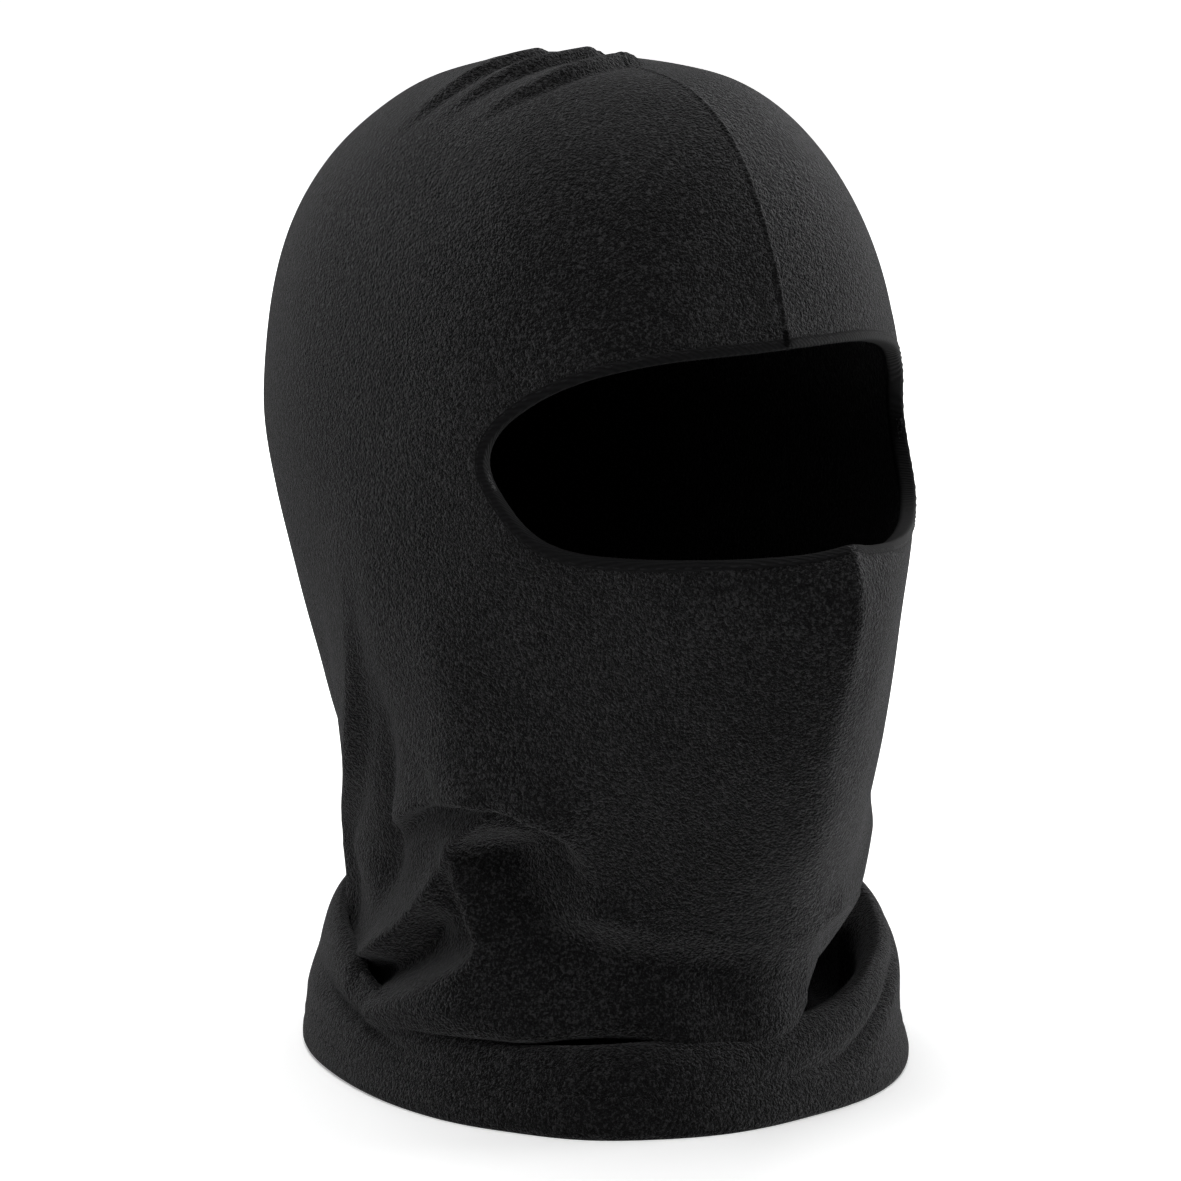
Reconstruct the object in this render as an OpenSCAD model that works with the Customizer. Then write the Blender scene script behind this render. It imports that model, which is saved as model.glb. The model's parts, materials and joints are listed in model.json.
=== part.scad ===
// Close-fitting fleece balaclava with one face opening, standing on its turned-down neck.
// Frame: +Z up, the face looks along -Y, the wearer's left is +X, the neck hem rests on z = 0.

/* [Hood] */
// Height of the hood as it stands, from the neck hem to the crown
hood_h = 278; // [262:1:296]
// Outside length of the hood at the brow, from the forehead to the back of the head
hood_l = 207; // [192:1:222]
// Outside width of the hood above the ears
hood_w = 158; // [146:1:170]
// Thickness of the fleece
fleece_t = 2.2; // [1.6:0.1:2.6]

/* [Face opening] */
// Height of the opening in front of the nose bridge
opening_h = 50; // [40:1:54]
// How far each end of the opening lies round from the middle of the face, in degrees
opening_turn = 61; // [54:1:66]
// Width of the binding on the outside of the cloth
binding_w = 3; // [2.4:0.1:3.6]
// Thickness of the binding's cloth
binding_t = 0.7; // [0.5:0.1:0.9]

/* [Sewing] */
// Depth of the turned-up neck hem
hem_depth = 13; // [11:0.5:16]
// Width of the overlocked seam on the inside
seam_w = 6; // [5:0.5:7]
// Diameter of the sewing thread
thread_d = 0.5; // [0.4:0.05:0.6]
// Length of one stitch of the neck hem
hem_stitch = 4; // [3:0.5:5]
// Distance between the two needle rows of the neck hem
hem_row_gap = 4; // [3:0.5:5]
// Length of one stitch of the binding
binding_stitch = 3; // [2:0.5:4]

/* [Care label] */
// Length of the folded label from the seam to its free end
label_l = 32; // [24:1:34]
// Width of the label along the seam
label_w = 20; // [14:1:22]
// How far the label leans away from the middle of the hood at rest, in degrees
label_lean = 73; // [55:1:73]

/* [Hidden] */

// Levels of the cloth along its path: crown, head, face, neck, the fold inside the collar,
// the collar's top fold and the hem. Each is [height, front y, back y, half width,
// squareness of the outline, taper towards the face, extra height at the back].
levels = [
    [278.0,    6.0,   6.0,  0, 2.00, 0.00,  0],
    [275.5,  -28.0,  38.0, 24, 2.00, 0.00,  0],
    [268.0,  -48.0,  66.0, 43, 2.00, 0.00,  0],
    [254.0,  -64.0,  87.0, 58, 2.00, 0.00,  0],
    [233.0,  -75.0, 103.0, 69, 2.05, 0.00,  0],
    [207.0,  -83.0, 112.0, 76, 2.10, 0.00,  0],
    [180.0,  -92.0, 115.6, 79, 2.10, 0.12,  0],
    [155.0, -113.5, 112.5, 79, 2.10, 0.42,  0],
    [130.0, -114.4, 106.0, 77, 2.10, 0.50,  0],
    [104.0, -107.0,  97.0, 73, 2.10, 0.45,  0],
    [ 79.0,  -96.0,  86.0, 69, 2.10, 0.40,  0],
    [ 54.0,  -83.0,  77.0, 66, 2.10, 0.25,  0],
    [ 32.0,  -71.0,  70.0, 63, 2.10, 0.10,  0],
    [ 14.0,  -62.0,  64.0, 60, 2.10, 0.00,  0],
    [  5.0,  -62.0,  65.0, 61, 2.10, 0.00,  3],
    [  5.0,  -68.0,  70.0, 67, 2.10, 0.00,  3],
    [ 12.0,  -71.0,  73.0, 70, 2.10, 0.00, 10],
    [ 20.0,  -71.5,  74.0, 72, 2.10, 0.00, 17],
    [ 25.0,  -78.0,  77.0, 75, 2.10, 0.00, 19],
    [ 20.0,  -84.0,  81.0, 79, 2.10, 0.00, 17],
    [ 11.0,  -87.0,  82.0, 80, 2.10, 0.00, 10],
    [  0.0,  -90.0,  83.0, 82, 2.10, 0.00,  0]
];
levels_h = 278;
levels_l = 207;
levels_w = 158;
level_scale = [
    hood_h / levels_h, hood_l / levels_l, hood_l / levels_l, hood_w / levels_w, 1, 1, hood_h / levels_h
];
last_level = len(levels) - 1;
above_hem = last_level - 1;
neck_fold_level = 13;
chin_level = 9;
forehead_level = 4;
taper_power = 1.3;
half_t = fleece_t / 2;

// ---- the cloth as one smooth surface ----

// Level number s, whole or between two levels, with a smooth curve through all of them
function level(i) = [
    for (k = [0:len(level_scale) - 1]) levels[min(max(i, 0), last_level)][k] * level_scale[k]
];
function curve(p, q, r, w, t) =
    (2 * q + (r - p) * t + (2 * p - 5 * q + 4 * r - w) * t * t + (3 * q - p - 3 * r + w) * t * t * t) / 2;
function level_at(s) =
    let (i = min(floor(s), last_level - 1))
    curve(level(i - 1), level(i), level(i + 1), level(i + 2), s - i);

// Middle of the cloth at level s and angle a, where 0 is the face and 90 the wearer's left
function round_off(a, n) = pow(pow(abs(cos(a)), n) + pow(abs(sin(a)), n), -1 / n);
function cloth(s, a) =
    let (
        v = level_at(s),
        reach = round_off(a, v[4]),
        narrow = 1 - v[5] * pow(max(cos(a), 0), taper_power)
    )
    [
        v[3] * sin(a) * reach * narrow,
        (v[1] + v[2]) / 2 - (v[2] - v[1]) / 2 * cos(a) * reach,
        v[0] + v[6] * (1 - cos(a)) / 2
    ];

function unit(v) = v / norm(v);
step_s = 0.04;
step_a = 0.5;
function outward(s, a) = unit(cross(
    cloth(s, a + step_a) - cloth(s, a - step_a),
    cloth(max(s - step_s, 0), a) - cloth(min(s + step_s, last_level), a)
));
// A point off the middle of the cloth, positive towards the side that faces out on the head
function beside(s, a, off) = cloth(s, a) + off * outward(s, a);

// ---- the face opening in the cloth ----

opening_mid_z = 184.5 * level_scale[0];
opening_droop = 15;
opening_power = 3.2;
function height_level(z) = lookup(z, [for (i = [0:neck_fold_level]) [level(i)[0], i]]);
function end_share(a) = min(abs(a) / opening_turn, 1);
function opening_mid(a) = opening_mid_z - opening_droop * pow(end_share(a), 3);
function opening_half(a) =
    end_share(a) > 0.9999 ? 0 : opening_h / 2 * pow(1 - pow(end_share(a), opening_power), 1 / opening_power);
function lower_edge(a) = height_level(opening_mid(a) - opening_half(a));
function upper_edge(a) = height_level(opening_mid(a) + opening_half(a));

// The edge as a closed loop: turn 0 and 180 are its two ends, and the first half runs below
function loop_angle(turn) = -opening_turn * cos(turn);
function loop_level(turn) =
    sin(turn) >= 0 ? lower_edge(loop_angle(turn)) : upper_edge(loop_angle(turn));
function loop_point(turn) = cloth(loop_level(turn), loop_angle(turn));
loop_step = 9;
function loop_frame(turn) =
    let (
        n = outward(loop_level(turn), loop_angle(turn)),
        ahead = loop_point(turn + loop_step / 2) - loop_point(turn - loop_step / 2),
        t = unit(ahead - (ahead * n) * n)
    )
    [t, cross(t, n), n];
// A point near the edge: into is measured into the cloth, and off towards the outside
function by_edge(turn, into, off) =
    let (f = loop_frame(turn)) loop_point(turn) + into * f[1] + off * f[2];

// ---- fleece shell ----

front_cells = 360 / loop_step / 2;
back_cells = 28;
columns = concat(
    [for (k = [0:front_cells]) loop_angle(k * loop_step)],
    [for (k = [1:back_cells - 1]) opening_turn + k * (360 - 2 * opening_turn) / back_cells]
);
column_count = len(columns);

fold_step = 0.5;
edge_cells = 7;
crown_levels = [3.5, 3, 2.5, 2, 1.5, 1, 0.6, 0.3];
function lower_rows(a) = concat(
    [for (s = [last_level:-fold_step:chin_level]) s],
    [for (k = [1:edge_cells]) chin_level + (lower_edge(a) - chin_level) * k / edge_cells]
);
function upper_rows(a) = concat(
    [for (k = [0:edge_cells]) upper_edge(a) + (forehead_level - upper_edge(a)) * k / edge_cells],
    crown_levels
);
lower_count = len(lower_rows(0));
upper_count = len(upper_rows(0));

// The hem is turned up inside, so the cloth is double there
function hem_level(a) = last_level - hem_depth / cloth(above_hem, a)[2] * (last_level - above_hem);
function wall_point(s, a, side) =
    let (
        off = side > 0 ? half_t : s > hem_level(a) - step_s ? -half_t - fleece_t : -half_t,
        p = beside(s, a, off)
    )
    s == last_level ? [p[0], p[1], 0] : p;
function sheet(side) = concat(
    [for (i = [0:lower_count - 1]) for (a = columns) wall_point(lower_rows(a)[i], a, side)],
    [for (i = [0:upper_count - 1]) for (a = columns) wall_point(upper_rows(a)[i], a, side)],
    [cloth(0, 0) + [0, 0, side * half_t]]
);
sheet_size = (lower_count + upper_count) * column_count + 1;

function flip(f, side) = side > 0 ? f : [f[0], f[2], f[1]];
function grid_faces(first, rows, base, side) = [
    for (i = [first:first + rows - 2]) for (j = [0:column_count - 1])
        let (
            next = (j + 1) % column_count,
            a = base + i * column_count + j,
            b = base + i * column_count + next,
            c = a + column_count,
            d = b + column_count
        )
        for (f = [[a, c, b], [b, c, d]]) flip(f, side)
];
function crown_faces(base, side) = [
    for (j = [0:column_count - 1])
        let (
            ring = base + (lower_count + upper_count - 1) * column_count,
            tip = base + sheet_size - 1
        )
        flip([ring + j, tip, ring + (j + 1) % column_count], side)
];
function rim_faces(row, cells, side) = [
    for (j = [0:cells - 1])
        let (a = row * column_count + j, b = row * column_count + (j + 1) % column_count)
        for (f = [[a, b, a + sheet_size], [b, b + sheet_size, a + sheet_size]]) flip(f, side)
];

module fleece_shell() color("#1b1b1d")
    polyhedron(
        points = concat(sheet(1), sheet(-1)),
        faces = concat(
            grid_faces(0, lower_count, 0, 1),
            grid_faces(lower_count, upper_count, 0, 1),
            crown_faces(0, 1),
            grid_faces(0, lower_count, sheet_size, -1),
            grid_faces(lower_count, upper_count, sheet_size, -1),
            crown_faces(sheet_size, -1),
            rim_faces(0, column_count, 1),
            rim_faces(lower_count - 1, front_cells, -1),
            rim_faces(lower_count, front_cells, 1)
        )
    );

// ---- swept bands ----

// One solid from a list of closed outlines, joined end to end where the band is a loop
module band(rings, closed) {
    sides = len(rings[0]);
    count = len(rings);
    ends = closed ? [] : [
        [for (k = [sides - 1:-1:0]) k],
        [for (k = [0:sides - 1]) (count - 1) * sides + k]
    ];
    polyhedron(
        points = [for (r = rings) for (p = r) p],
        faces = concat(
            ends,
            [for (i = [0:count - (closed ? 1 : 2)]) for (k = [0:sides - 1])
                let (
                    a = i * sides + k,
                    b = i * sides + (k + 1) % sides,
                    c = (i + 1) % count * sides + k,
                    d = (i + 1) % count * sides + (k + 1) % sides
                )
                for (f = [[a, b, c], [b, d, c]]) f]
        )
    );
}
loop_turns = [0:loop_step:360 - loop_step];

// ---- binding and elastic of the face opening ----

cloth_gap = 0.4;
elastic_w = 3;
elastic_t = 0.4;
inner_leg = binding_w + 1.5;
fold_out = cloth_gap + binding_t;
outer_face = half_t + cloth_gap;
inner_gap = 0.65;
elastic_top = -half_t - inner_gap;
inner_face = elastic_top - elastic_t - cloth_gap;
corner = binding_t / 2;
binding_outline = [
    [binding_w, outer_face], [binding_w, outer_face + binding_t],
    [-fold_out + corner, outer_face + binding_t], [-fold_out, outer_face + binding_t - corner],
    [-fold_out, inner_face - binding_t + corner], [-fold_out + corner, inner_face - binding_t],
    [inner_leg, inner_face - binding_t], [inner_leg, inner_face],
    [-cloth_gap, inner_face], [-cloth_gap, outer_face]
];
elastic_near = 0.6;
elastic_outline = [
    [elastic_near, elastic_top], [elastic_near, elastic_top - elastic_t],
    [elastic_near + elastic_w, elastic_top - elastic_t], [elastic_near + elastic_w, elastic_top]
];

module face_opening_binding() color("#242427")
    band([for (turn = loop_turns) [for (p = binding_outline) by_edge(turn, p[0], p[1])]], true);

module face_opening_elastic() color("#d9d6cc")
    band([for (turn = loop_turns) [for (p = elastic_outline) by_edge(turn, p[0], p[1])]], true);

// ---- stitches ----

// Places its children at p, turned to the three directions of the frame f
module placed(p, f)
    multmatrix([
        [f[0][0], f[1][0], f[2][0], p[0]],
        [f[0][1], f[1][1], f[2][1], p[1]],
        [f[0][2], f[1][2], f[2][2], p[2]],
        [0, 0, 0, 1]
    ])
        children();

// A straight stitch that lies along the first direction of the frame f, centred on p
module stitch(p, f, length) placed(p, f) cube([length, thread_d, thread_d], center = true);

stitch_gap = 0.8;
thread_gap = 0.1;
binding_stitch_off = outer_face + binding_t + thread_d / 2 + thread_gap / 2;
loop_steps = [
    for (
        turn = 0, run = 0;
        turn <= 360;
        run = run + norm(loop_point(turn + loop_step) - loop_point(turn)), turn = turn + loop_step
    ) [run, turn]
];
loop_length = loop_steps[len(loop_steps) - 1][0];
binding_stitch_count = floor(loop_length / (binding_stitch + stitch_gap));

module binding_stitches() color("#2b2b2e")
    for (k = [0:binding_stitch_count - 1])
        let (turn = lookup((k + 0.5) * loop_length / binding_stitch_count, loop_steps))
        stitch(by_edge(turn, binding_w / 2, binding_stitch_off), loop_frame(turn), binding_stitch);

bartack_l = 6;
bartack_w = 2;
bartack_t = 0.7;
brow_turn = 270;
// The bartack crosses the binding where the centre seam ends at the brow
bartack_off = outer_face + binding_t + thread_d + thread_gap + bartack_t / 2;
module brow_bartack() color("#2b2b2e")
    placed(by_edge(brow_turn, binding_w / 2, bartack_off), loop_frame(brow_turn)) {
        cube([bartack_w, bartack_l - bartack_w, bartack_t], center = true);
        for (end = [-1, 1])
            translate([0, end * (bartack_l - bartack_w) / 2, 0])
                cylinder(h = bartack_t, d = bartack_w, center = true, $fn = 24);
    }

hem_mean_d = (levels[last_level][2] - levels[last_level][1]) / 2 + levels[last_level][3];
hem_stitch_count = floor(PI * hem_mean_d / (hem_stitch + stitch_gap));
hem_rows_off = half_t + thread_d / 2 + thread_gap;
hem_margin = 1;
// Level of a line that runs a given distance below the top of the turned-up hem
function hem_row(a, below) = hem_level(a) + below / cloth(above_hem, a)[2];
function hem_frame(a, below, lean) =
    let (
        n = outward(hem_row(a, below), a),
        along = unit(cloth(hem_row(a + 1, below), a + 1) - cloth(hem_row(a - 1, below), a - 1)),
        up = unit(cross(n, along)),
        t = unit(along * cos(lean) + up * sin(lean))
    )
    [t, unit(cross(n, t)), n];

module hem_needle_stitches() color("#2b2b2e")
    for (below = [hem_margin, hem_margin + hem_row_gap], k = [0:hem_stitch_count - 1])
        let (a = k * 360 / hem_stitch_count)
        stitch(beside(hem_row(a, below), a, hem_rows_off), hem_frame(a, below, 0), hem_stitch);

looper_lean = 40;
looper_off = -half_t - fleece_t - thread_d / 2 - cloth_gap;
looper_below = hem_margin + hem_row_gap / 2;
module hem_looper_thread() color("#2b2b2e")
    for (k = [0:hem_stitch_count - 1])
        let (a = k * 360 / hem_stitch_count)
        stitch(
            beside(hem_row(a, looper_below), a, looper_off),
            hem_frame(a, looper_below, k % 2 == 0 ? looper_lean : -looper_lean),
            hem_stitch
        );

// ---- centre seam: up the forehead, over the crown, down the back and inside the neck ----

seam_t = 2;
seam_top = -half_t - inner_gap;
seam_half = seam_w / 2;
seam_bevel = 0.8;
seam_outline = [
    [-seam_half, seam_top - seam_t + seam_bevel], [-seam_half + seam_bevel, seam_top - seam_t],
    [seam_half - seam_bevel, seam_top - seam_t], [seam_half, seam_top - seam_t + seam_bevel],
    [seam_half, seam_top], [-seam_half, seam_top]
];
seam_margin = 1;
brow_to_forehead = level(forehead_level)[0] - (opening_mid_z + opening_h / 2);
seam_start = upper_edge(0)
    - (inner_leg + seam_margin) / brow_to_forehead * (upper_edge(0) - forehead_level);
seam_end = neck_fold_level;
seam_front_step = 0.4;
seam_back_step = 0.5;
seam_near_crown = 0.3;
function seam_section(p, n) = [for (q = seam_outline) p + [q[0], 0, 0] + q[1] * n];
module centre_seam_overlock() color("#2b2b2e")
    band(concat(
        [for (s = [seam_start:-seam_front_step:seam_near_crown]) seam_section(cloth(s, 0), outward(s, 0))],
        [seam_section(cloth(0, 0), [0, 0, 1])],
        [for (s = [seam_near_crown:seam_back_step:seam_end]) seam_section(cloth(s, 180), outward(s, 180))]
    ), false);

// ---- care label: a folded tape caught in the seam at the nape, free to swing from side to side ----

label_t = 0.8;
label_fold_gap = 0.2;
label_root = 0.6;
label_mid_level = 10.5;
label_gap = 0.8;
label_off = seam_top - seam_t - label_gap;
label_mid = beside(label_mid_level, 180, label_off);
label_reach = 0.4;
label_axis = unit(cloth(label_mid_level + label_reach, 180) - cloth(label_mid_level - label_reach, 180));
label_in = cross(label_axis, [1, 0, 0]);
label_layer = (label_t - label_fold_gap) / 2;

module label_outline() difference() {
    union() {
        translate([label_root, -label_t / 2]) square([label_l - label_root - label_t / 2, label_t]);
        translate([label_l - label_t / 2, 0]) circle(d = label_t, $fn = 24);
    }
    translate([label_root + label_t, -label_fold_gap / 2])
        square([label_l - label_root - label_t * 1.5, label_fold_gap]);
}
module care_label() color("#e8e6e0")
    multmatrix([
        [1, label_in[0], label_axis[0], label_mid[0]],
        [0, label_in[1], label_axis[1], label_mid[1]],
        [0, label_in[2], label_axis[2], label_mid[2]],
        [0, 0, 0, 1]
    ])
        rotate(90 - label_lean)
            linear_extrude(height = label_w, center = true) label_outline();

fleece_shell();
face_opening_binding();
face_opening_elastic();
binding_stitches();
brow_bartack();
centre_seam_overlock();
hem_needle_stitches();
hem_looper_thread();
care_label();
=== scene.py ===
"""Balaclava of black micro-fleece: the visual model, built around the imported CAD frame.

Lengths in the tables are millimetres and angles are degrees round the hood, 0 at the face and
90 at the wearer's left. Every mesh is in metres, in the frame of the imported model.
"""

import json
import math

import bmesh
import bpy
import numpy as np
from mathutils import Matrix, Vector


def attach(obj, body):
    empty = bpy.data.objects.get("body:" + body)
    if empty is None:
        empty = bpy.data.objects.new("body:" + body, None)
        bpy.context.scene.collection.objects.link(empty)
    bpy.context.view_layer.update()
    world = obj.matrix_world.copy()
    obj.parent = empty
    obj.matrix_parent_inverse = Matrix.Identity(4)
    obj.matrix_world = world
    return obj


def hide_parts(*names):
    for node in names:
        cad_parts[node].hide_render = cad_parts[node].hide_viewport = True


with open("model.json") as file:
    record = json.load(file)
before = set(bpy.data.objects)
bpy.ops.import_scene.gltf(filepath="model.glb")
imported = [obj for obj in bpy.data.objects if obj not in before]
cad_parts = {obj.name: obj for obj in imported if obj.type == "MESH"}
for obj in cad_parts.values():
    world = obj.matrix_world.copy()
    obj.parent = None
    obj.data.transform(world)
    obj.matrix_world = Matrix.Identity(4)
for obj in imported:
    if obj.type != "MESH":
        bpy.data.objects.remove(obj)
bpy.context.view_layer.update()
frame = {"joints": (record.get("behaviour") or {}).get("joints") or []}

MM = 0.001

# ---- sizes ----

FLEECE = 2.2
HEM_DEPTH = 13.0
HEM_ROWS = (12.0, 8.0)
OPENING_TURN = 61.0
OPENING_HEIGHT = 50.0
OPENING_MID = 184.5
OPENING_DROOP = 15.0
OPENING_POWER = 3.2
TAPER_POWER = 1.3

# [height, front y, back y, half width, squareness, taper to the face, extra height at the back]
LEVELS = np.array([
    [276.5, 6.0, 6.0, 0.0, 2.00, 0.00, 0.0],
    [274.0, -28.0, 38.0, 24.0, 2.00, 0.00, 0.0],
    [266.0, -48.0, 66.0, 43.0, 2.00, 0.00, 0.0],
    [252.5, -64.0, 87.0, 58.0, 2.00, 0.00, 0.0],
    [233.0, -75.0, 103.0, 69.0, 2.05, 0.00, 0.0],
    [207.0, -83.0, 112.0, 76.0, 2.10, 0.00, 0.0],
    [180.0, -92.0, 115.6, 79.0, 2.10, 0.12, 0.0],
    [155.0, -113.5, 112.5, 79.0, 2.10, 0.42, 0.0],
    [130.0, -114.4, 105.0, 76.5, 2.10, 0.50, 0.0],
    [104.0, -107.0, 95.5, 72.5, 2.10, 0.45, 0.0],
    [79.0, -96.0, 86.0, 69.0, 2.10, 0.40, 0.0],
    [54.0, -83.0, 77.0, 66.0, 2.10, 0.25, 0.0],
    [32.0, -71.0, 70.0, 63.0, 2.10, 0.10, 0.0],
    [14.0, -62.0, 64.0, 60.0, 2.10, 0.00, 0.0],
    [5.0, -62.0, 65.0, 61.0, 2.10, 0.00, 3.0],
    [5.0, -68.0, 70.0, 67.0, 2.10, 0.00, 3.0],
    [12.0, -71.0, 73.0, 70.0, 2.10, 0.00, 10.0],
    [20.0, -71.5, 74.0, 72.0, 2.10, 0.00, 17.0],
    [25.0, -78.0, 77.0, 75.0, 2.10, 0.00, 19.0],
    [20.0, -84.0, 81.0, 79.0, 2.10, 0.00, 17.0],
    [11.0, -87.0, 82.0, 80.0, 2.10, 0.00, 10.0],
    [0.0, -90.0, 83.0, 82.0, 2.10, 0.00, 0.0],
])
HEM = len(LEVELS) - 1
NECK_FOLD = 13
CHIN = 9
FOREHEAD = 4


# ---- the cloth as one smooth surface ----

def smooth(low, high, x):
    """0 below low, 1 above high, and a smooth rise between."""
    t = np.clip((x - low) / max(high - low, 1e-6), 0, 1)
    return t * t * (3 - 2 * t)


def spline(before, start, end, after, t):
    """Share t of the way from start to end, on a smooth curve through four values in a row."""
    square = 2 * before - 5 * start + 4 * end - after
    cube = 3 * start - before - 3 * end + after
    return (2 * start + (end - before) * t + square * t**2 + cube * t**3) / 2


def level_at(s):
    """The level table at level numbers s, on a smooth curve through its rows."""
    s = np.clip(s, 0, HEM)
    i = np.minimum(np.floor(s).astype(int), HEM - 1)
    t = (s - i)[..., None]
    return spline(*(LEVELS[np.clip(i + k, 0, HEM)] for k in (-1, 0, 1, 2)), t)


def wrapped(a):
    """Angle from -180 to 180."""
    return (a + 180) % 360 - 180


def around(a, centre, width):
    """1 at an angle round the hood, falling away on both sides of it."""
    return np.exp(-((wrapped(a - centre) / width) ** 2))


COLLAR_ROLL = ((14.6, 16.6), (19.0, 20.6))
COLLAR_SKIRT = (18.8, 20.3)
COLLAR_TURN = ((14.7, 15.6), (17.0, 18.2))


def collar_set(s, a):
    """How the collar has settled: outward shift and rise at level s and angle a. Its inner turn, its
    roll and its skirt have each moved in their own places."""
    roll = smooth(*COLLAR_ROLL[0], s) * (1 - smooth(*COLLAR_ROLL[1], s))
    turn = smooth(*COLLAR_TURN[0], s) * (1 - smooth(*COLLAR_TURN[1], s))
    skirt = smooth(*COLLAR_SKIRT, s)
    outward = -2.8 * roll * around(a, -124, 34) + 1.6 * skirt * around(a, -124, 34)
    outward += -0.6 * roll * around(a, 56, 30) - 2.6 * skirt * around(a, 62, 34)
    outward += 3.5 * turn * around(a, -120, 26)
    rise = roll * (6.0 * around(a, 82, 34) - 8.0 * around(a, -62, 48))
    return outward, rise


def cloth(s, a):
    """Middle of the smooth cloth, in millimetres, at level s and angle a."""
    s, a = np.asarray(s, float), np.asarray(a, float)
    outward, rise = collar_set(s, a)
    v = level_at(s)
    cos, sin = np.cos(np.radians(a)), np.sin(np.radians(a))
    reach = (np.abs(cos) ** v[..., 4] + np.abs(sin) ** v[..., 4]) ** (-1 / v[..., 4])
    narrow = 1 - v[..., 5] * np.maximum(cos, 0) ** TAPER_POWER
    return np.stack([
        v[..., 3] * sin * reach * narrow + outward * sin,
        (v[..., 1] + v[..., 2]) / 2 - (v[..., 2] - v[..., 1]) / 2 * cos * reach - outward * cos,
        v[..., 0] + v[..., 6] * (1 - cos) / 2 + rise,
    ], -1)


def unit(v):
    """Directions scaled to length 1."""
    return v / np.maximum(np.linalg.norm(v, axis=-1, keepdims=True), 1e-9)


def normal_of(surface, s, a, step_s=0.02, step_a=0.4):
    """Outward direction of a surface function at level s and angle a."""
    s = np.maximum(s, step_s)
    across = surface(s, a + step_a) - surface(s, a - step_a)
    along = surface(s - step_s, a) - surface(np.minimum(s + step_s, HEM), a)
    return unit(np.cross(across, along))


def level_of_height(z):
    """Level of the body of the hood at height z."""
    heights = LEVELS[: NECK_FOLD + 1, 0]
    return np.interp(-np.asarray(z, float), -heights, np.arange(NECK_FOLD + 1))


# ---- folds ----

def run_along(points):
    """Length along a path from its start to each of its points."""
    return np.concatenate([[0], np.cumsum(np.linalg.norm(np.diff(points, axis=0), axis=1))])


def curve_through(points, steps=6):
    """More points on a smooth curve through a few."""
    p = np.asarray(points, float)
    p = np.vstack([2 * p[0] - p[1], p, 2 * p[-1] - p[-2]])
    t = (np.arange(steps) / steps)[:, None]
    parts = [spline(*four, t) for four in zip(p, p[1:], p[2:], p[3:])]
    return np.vstack(parts + [p[-2:-1]])


def curve_closed(points, steps):
    """More points on a smooth closed curve through a few."""
    p = np.asarray(points, float)
    t = (np.arange(steps) / steps)[:, None]
    fours = zip(*(np.roll(p, shift, 0) for shift in (1, 0, -1, -2)))
    return np.vstack([spline(*four, t) for four in fours])


def on_body(*angle_height):
    """Path on the body of the hood through (angle, height) pairs."""
    a, z = curve_through(angle_height).T
    return cloth(level_of_height(z), a)


def on_collar(*angle_level):
    """Path on the collar through (angle, level) pairs."""
    a, s = curve_through(angle_level).T
    return cloth(s, a)


def on_crown(*x_y):
    """Path on the crown through (x, y) pairs, seen from above."""
    xy = curve_through(x_y)
    ring = cloth(np.linspace(0, 4, 81)[:, None], np.arange(0, 360, 3.0)[None, :]).reshape(-1, 3)
    near = [np.argmin(((ring[:, :2] - p) ** 2).sum(1)) for p in xy]
    return np.column_stack([xy, ring[near, 2]])


def beside_path(points, normals, path):
    """Signed distance of points from a path, positive on its right seen from outside, and how far
    along the path the nearest place lies, from 0 to 1."""
    best = np.full(len(points), 1e9)
    side, share = np.zeros(len(points)), np.zeros(len(points))
    steps = np.linalg.norm(np.diff(path, axis=0), axis=1)
    run = np.concatenate([[0], np.cumsum(steps)])
    for k, (start, end) in enumerate(zip(path[:-1], path[1:])):
        d = end - start
        t = np.clip((points - start) @ d / max(d @ d, 1e-9), 0, 1)
        away = points - start - t[:, None] * d
        distance = np.linalg.norm(away, axis=1)
        closer = distance < best
        best[closer] = distance[closer]
        right = (away * np.cross(d, normals)).sum(1)
        side[closer] = np.where(right[closer] < 0, -1, 1)
        share[closer] = (run[k] + t[closer] * steps[k]) / run[-1]
    return best * side, share


def fold(path, height, left, right, crest=1.5, fade=(0.25, 0.25), levels=(0, NECK_FOLD), sag=0.0,
         tuck=0.0):
    """A fold of the cloth along a path: its height, how far it reaches to each side, and the
    radius of its crest. It fades over a share of its length at each end. sag lets it hang down,
    and tuck is the depth of a groove along the foot of its steep side."""
    return dict(path=path, height=height, left=left, right=right, crest=crest, fade=fade,
                levels=levels, sag=sag, tuck=tuck)


FOLD_REACH = 5
FOLD_END = 0.7


def fold_relief(f, points, normals, s):
    """Height of one fold at each point. It ends at the first and last of its levels."""
    out = np.zeros(len(points))
    reach = FOLD_REACH * max(f["left"], f["right"])
    low, high = f["path"].min(0) - reach, f["path"].max(0) + reach
    near = np.all((points > low) & (points < high), axis=1)
    low_level, high_level = f["levels"]
    near &= (s >= low_level) & (s <= high_level)
    if not near.any():
        return out
    d, share = beside_path(points[near], normals[near], f["path"])
    width = np.where(d < 0, f["left"], f["right"])
    crest = f["crest"]
    shape = f["height"] * np.exp(-(np.sqrt(d * d + crest * crest) - crest) / width)
    steep = min(f["left"], f["right"])
    foot = (0.6 * crest + 1.8 * steep) * (-1 if f["left"] < f["right"] else 1)
    shape -= f["tuck"] * np.exp(-(((d - foot) / (0.5 * crest + steep)) ** 2))
    ends = smooth(0, f["fade"][0], share) * smooth(0, f["fade"][1], 1 - share)
    edge = 1 - smooth(high_level - FOLD_END, high_level, s[near])
    if low_level > 0:
        edge *= smooth(low_level, low_level + FOLD_END, s[near])
    out[near] = shape * ends * edge
    return out


# Levels between which a fold may show, and the share of its length over which a pleat fades
SKIRT = (0, 13.9)
RING = (14.6, 18.6)
COLLAR = (16.0, 20.6)
PLEAT_FADE = (0.12, 0.6)

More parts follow.
